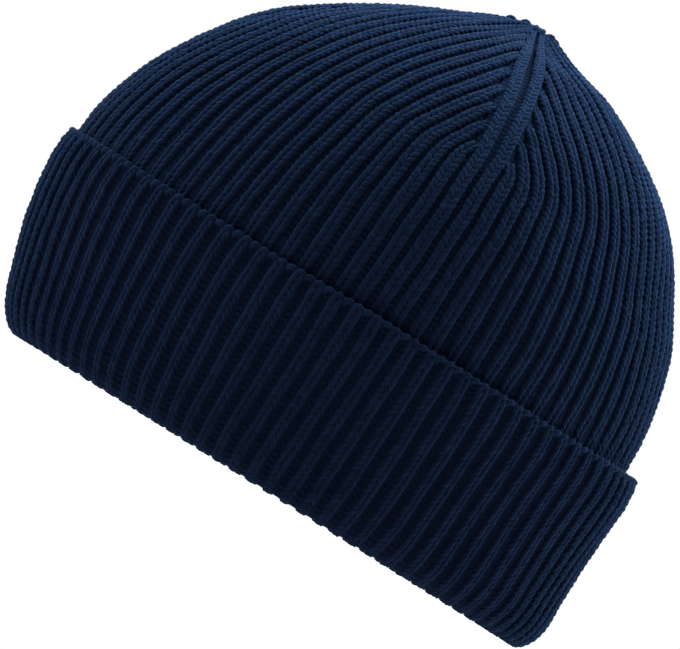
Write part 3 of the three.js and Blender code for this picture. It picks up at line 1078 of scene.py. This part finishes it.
class HAT_OT_crown_stitches(bpy.types.Operator):
    """Knits the crown's ribs, gore by gore, from inside the cuff to the tip"""

    bl_idname = "knit_hat.crown_stitches"
    bl_label = "Crown stitches"

    def execute(self, context):
        sizes = context.scene.hat_knit
        surface = CrownSurface()
        lengths = np.arange(surface.length_at(STITCHES_FROM), surface.total - STITCHES_END, LINE_STEP)
        centres, width = surface.rib_centres(lengths)
        shares = surface.rib_shares(lengths)
        inset = sizes.stitch_inset / MM + END_DIP * (1 - shares) ** 3 + surface.slack(lengths, centres)
        alive = (shares > LAST_SHARE) & (width > LEAST_WIDTH)
        blunt = 1 - LAST_SHRINK * (1 - ease((shares - LAST_SHARE) / SHRINK_REACH))
        scale = rib_scale(sizes, width, GROOVE_WIDTH, LEAST_STITCH) * blunt
        stitches = set_stitches(surface, lengths, centres, inset, scale, alive, sizes.row_pitch / MM)
        tree = stitch_tree("Knit stitch of the crown", KNIT_STITCH)
        yarn = wool_yarn("worsted wool yarn, crown", context.scene.hat_colours)
        settings = stitch_sizes(sizes, sizes.half_width, sizes.yarn_radius)
        for gore in range(GORE_COUNT):
            chosen = stitches.rib // RIBS_IN_GORE == gore
            knit(f"crown_gore_{gore + 1}", tree, stitches, settings, yarn, sizes.seed + gore, chosen)
        return {"FINISHED"}


class HAT_OT_cuff_stitches(bpy.types.Operator):
    """Knits the cuff's ribs, upside down as on a turned-up tube, from under the fold to the edge"""

    bl_idname = "knit_hat.cuff_stitches"
    bl_label = "Cuff stitches"

    def execute(self, context):
        sizes = context.scene.hat_knit
        surface = CuffSurface()
        lengths = np.arange(CUFF_STITCHES_IN[0], surface.total - CUFF_STITCHES_IN[1], LINE_STEP)
        edges = surface.rib_edges(lengths)
        turns = (edges[:, :-1] + edges[:, 1:]) / 2
        fold = FOLD_SINK * (1 - ease(surface.height(lengths)[:, None] / FOLD_REACH))
        inset = sizes.stitch_inset / MM + fold + surface.slack(lengths, turns)
        width = np.diff(edges, axis=1) * surface.perimeter(lengths)
        scale = rib_scale(sizes, width, CUFF_GROOVE_WIDTH, LEAST_CUFF_STITCH)
        pitch = sizes.row_pitch / MM
        stitches = set_stitches(surface, lengths, turns, inset, scale, scale > 0, pitch, upside_down=True)
        tree = stitch_tree("Knit stitch of the cuff", KNIT_STITCH)
        yarn = wool_yarn("worsted wool yarn, cuff", context.scene.hat_colours)
        settings = stitch_sizes(sizes, sizes.half_width, sizes.yarn_radius)
        quarters = ("front_right", "back_right", "back_left", "front_left")
        for quarter, label in enumerate(quarters):
            chosen = stitches.rib // (RIB_COUNT // len(quarters)) == quarter
            knit(f"cuff_{label}", tree, stitches, settings, yarn, sizes.seed + CUFF_SEEDS + quarter, chosen)
        return {"FINISHED"}


class HAT_OT_purls(bpy.types.Operator):
    """Knits the purl bumps at the bottom of the grooves"""

    bl_idname = "knit_hat.purls"
    bl_label = "Purl bumps"

    def execute(self, context):
        sizes = context.scene.hat_knit
        tree = stitch_tree("Purl stitch", PURL_STITCH)
        # The purl bumps take the ground's painted shade, darker than the stitches' yarn
        yarn = knit_ground_painted_shade("wool yarn of the grooves in painted shade", context.scene.hat_colours)
        settings = stitch_sizes(sizes, sizes.purl_width, sizes.purl_radius)
        pitch = sizes.row_pitch / MM
        knit("crown_purls", tree, self.crown_purls(pitch), settings, yarn, sizes.seed + PURL_SEEDS)
        knit("cuff_purls", tree, self.cuff_purls(pitch), settings, yarn, sizes.seed + PURL_SEEDS + 1)
        return {"FINISHED"}

    def crown_purls(self, pitch):
        """Bumps up to where a rib beside them ends, and up to the lowest end beside a spine."""
        crown = CrownSurface()
        lengths = np.arange(crown.length_at(PURLS_FROM), crown.total - PURLS_END, LINE_STEP)
        turns = crown.rib_edges(lengths)[:, :-1]
        shares = crown.rib_shares(lengths)
        height = crown.height(lengths)
        spine = np.arange(RIB_COUNT) % RIBS_IN_GORE == 0
        below_spine = height[:, None] < HALF_GORE_CHART[0].full_to
        wide_enough = np.minimum(shares, np.roll(shares, 1, axis=1)) > PURL_SHARE
        alive = wide_enough & (below_spine | ~spine)
        inset = CROWN_GROOVE_INSET - PURL_LIFT - pressed(height) + crown.slack(lengths, turns)
        gaps = crown.perimeter(lengths) / RIB_COUNT
        wide = np.broadcast_to(np.clip(gaps / FULL_PURL_PITCH, LEAST_PURL, 1.0), turns.shape)
        return set_stitches(crown, lengths, turns, inset, wide, alive, pitch)

    def cuff_purls(self, pitch):
        """Bumps from under the fold to the top edge."""
        cuff = CuffSurface()
        lengths = np.arange(CUFF_PURLS_IN[0], cuff.total - CUFF_PURLS_IN[1], LINE_STEP)
        turns = cuff.rib_edges(lengths)[:, :-1]
        depth = FOLD_PURLS + (1 - FOLD_PURLS) * ease(cuff.height(lengths)[:, None] / FOLD_REACH)
        inset = (CUFF_GROOVE_INSET - PURL_LIFT) * depth + cuff.slack(lengths, turns)
        full = np.ones_like(turns)
        return set_stitches(cuff, lengths, turns, inset, full, full > 0, pitch, upside_down=True)


class HAT_OT_edge(bpy.types.Operator):
    """Loops the cast-on edge over the top of the cuff, two loops to a rib"""

    bl_idname = "knit_hat.edge"
    bl_label = "Cast-on edge"

    def execute(self, context):
        sizes = context.scene.hat_knit
        surface = CuffSurface()
        top = surface.length[int(np.argmax(surface.profile[:, 0]))]
        lengths = top - EDGE_BEFORE_TOP + NEARBY
        edges = surface.rib_edges(lengths)
        turns = np.concatenate([edges[:, :-1], (edges[:, :-1] + edges[:, 1:]) / 2], axis=1)
        stitches = single_stitches(surface, lengths, turns, EDGE_INSET + surface.slack(lengths, turns))
        tree = stitch_tree("Cast-on loop", EDGE_STITCH)
        yarn = wool_yarn("worsted wool yarn, edge", context.scene.hat_colours)
        settings = stitch_sizes(sizes, sizes.half_width, sizes.yarn_radius * EDGE_YARN, EDGE_RISE)
        knit("cuff_edge", tree, stitches, settings, yarn, sizes.seed + EDGE_SEEDS)
        return {"FINISHED"}


class HAT_OT_gather(bpy.types.Operator):
    """Draws the ends of the spines' ribs together at the tip"""

    bl_idname = "knit_hat.gather"
    bl_label = "Gathered tip"

    def execute(self, context):
        sizes = context.scene.hat_knit
        surface = CrownSurface()
        place = np.arange(RIB_COUNT) % RIBS_IN_GORE
        spine_ribs = np.flatnonzero((place == 0) | (place == RIBS_IN_GORE - 1))
        found = []
        for rib, reach in zip(spine_ribs, GATHERED_AT):
            lengths = surface.total - reach + NEARBY
            turns = surface.rib_centres(lengths)[0][:, rib : rib + 1]
            found.append(single_stitches(surface, lengths, turns, np.full(turns.shape, GATHER_INSET)))
        stitches = Stitches(*(np.concatenate(part) for part in zip(*found)))
        tree = stitch_tree("Gathered rib end", GATHER_STITCH)
        yarn = wool_yarn("worsted wool yarn, tip", context.scene.hat_colours)
        settings = stitch_sizes(sizes, sizes.half_width, sizes.yarn_radius * GATHER_YARN, GATHER_RISE)
        knit("crown_gather", tree, stitches, settings, yarn, sizes.seed + GATHER_SEEDS)
        return {"FINISHED"}


class HAT_OT_stage(bpy.types.Operator):
    """Sets the pale table, the soft lights and the camera, which looks as the photograph does"""

    bl_idname = "knit_hat.stage"
    bl_label = "Studio"

    def execute(self, context):
        stage = context.scene.hat_stage
        reach = FLOOR_REACH / MM
        corners = [(-reach, -reach, 0.0), (reach, -reach, 0.0), (reach, reach, 0.0), (-reach, reach, 0.0)]
        floor = mesh_object("floor", corners, [(0, 1, 2, 3)])
        floor.data.materials.append(light_table("opal acrylic", tuple(stage.table), stage.table_light))
        self.light_world(context.scene, stage.front_light, stage.back_light)
        sky = bpy.data.lights.new("overhead light", "SUN")
        sky.energy = stage.sky_light
        sky.angle = SKY_SPREAD
        self.hang(context.scene, sky, SKY_PLACE)
        place = (0.0, TOP_SOFTBOX_BACK, stage.softbox_height)
        self.softbox(context.scene, "top softbox", stage.top_light, stage.softbox_size, place)
        for side in (-1.0, 1.0):
            place = (side * stage.side_reach, SIDE_SOFTBOX_BACK, SIDE_SOFTBOX_HEIGHT)
            self.softbox(context.scene, "side softbox", stage.side_light, stage.side_size, place, SOFTBOX_AIM)
        self.set_camera(context.scene, stage)
        context.scene.view_settings.view_transform = "Standard"
        return {"FINISHED"}

    def set_camera(self, scene, stage):
        """Sets a long lens in front of the hat, turned about its view as the photograph is."""
        data = bpy.data.cameras.new("camera")
        data.lens = data.sensor_width * stage.distance / stage.frame_width
        data.clip_start = 0.1
        data.clip_end = 100.0
        camera = bpy.data.objects.new("camera", data)
        aim = Vector(stage.aim)
        place = Vector((aim.x, -stage.distance, stage.camera_height))
        level = (aim - place).to_track_quat("-Z", "Y").to_matrix().to_4x4()
        camera.matrix_world = Matrix.Translation(place) @ level @ Matrix.Rotation(stage.roll, 4, "Z")
        scene.collection.objects.link(camera)
        scene.camera = camera

    def light_world(self, scene, front, back):
        """A white studio: white to look at, with most of its light from the background."""
        world = bpy.data.worlds.new("white studio")
        world.use_nodes = True
        tree = world.node_tree
        way = add_node(tree, "ShaderNodeTexCoord", output="Generated")
        depth = add_node(tree, "ShaderNodeSeparateXYZ", (way,), output="Y")
        light = (depth, BACKGROUND_FROM, BACKGROUND_FULL, front, back)
        light = add_node(tree, "ShaderNodeMapRange", light)
        seen = add_node(tree, "ShaderNodeLightPath", output="Is Camera Ray")
        power = add_node(tree, "ShaderNodeMapRange", {0: seen, 3: light, 4: 1.0})
        fill(tree, tree.nodes["Background"], {"Color": WHITE, "Strength": power})
        scene.world = world

    def softbox(self, scene, name, power, size, place, aim=None):
        """A square softbox, hung over the hat or turned to what it aims at."""
        lamp = bpy.data.lights.new(name, "AREA")
        lamp.shape = "SQUARE"
        lamp.size = size
        lamp.energy = power
        lamp.color = scene.hat_stage.daylight
        self.hang(scene, lamp, place, aim)

    def hang(self, scene, lamp, place, aim=None):
        """Hangs a lamp that isn't seen itself. Without an aim it points straight down."""
        light = bpy.data.objects.new(lamp.name, lamp)
        light.location = place
        if aim is not None:
            light.rotation_euler = (Vector(aim) - light.location).to_track_quat("-Z", "Y").to_euler()
        light.visible_camera = False
        scene.collection.objects.link(light)


OPERATORS = (
    HAT_OT_crown_wall,
    HAT_OT_cuff_wall,
    HAT_OT_crown_stitches,
    HAT_OT_cuff_stitches,
    HAT_OT_purls,
    HAT_OT_edge,
    HAT_OT_gather,
    HAT_OT_stage,
)


class HAT_PT_panel(bpy.types.Panel):
    """Lists the pieces of the hat and its studio"""

    bl_label = "Knit hat"
    bl_idname = "HAT_PT_panel"
    bl_space_type = "VIEW_3D"
    bl_region_type = "UI"
    bl_category = "Knit hat"

    def draw(self, context):
        for operator in OPERATORS:
            self.layout.operator(operator.bl_idname)
        for group_name in GROUPS:
            group = getattr(context.scene, group_name)
            box = self.layout.box()
            for name in group.bl_rna.properties.keys():
                if name not in {"rna_type", "name"}:
                    box.prop(group, name)


GROUPS = {"hat_knit": HatKnit, "hat_colours": HatColours, "hat_stage": HatStage}
CLASSES = (*GROUPS.values(), *OPERATORS, HAT_PT_panel)


def register():
    for each in CLASSES:
        bpy.utils.register_class(each)
    for name, group in GROUPS.items():
        setattr(bpy.types.Scene, name, bpy.props.PointerProperty(type=group))


def unregister():
    for name in GROUPS:
        delattr(bpy.types.Scene, name)
    for each in reversed(CLASSES):
        bpy.utils.unregister_class(each)


def main():
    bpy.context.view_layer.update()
    register()
    bpy.ops.knit_hat.crown_wall()
    bpy.ops.knit_hat.cuff_wall()
    bpy.ops.knit_hat.crown_stitches()
    bpy.ops.knit_hat.cuff_stitches()
    bpy.ops.knit_hat.purls()
    bpy.ops.knit_hat.edge()
    bpy.ops.knit_hat.gather()
    bpy.ops.knit_hat.stage()


if __name__ == "__main__":
    main()
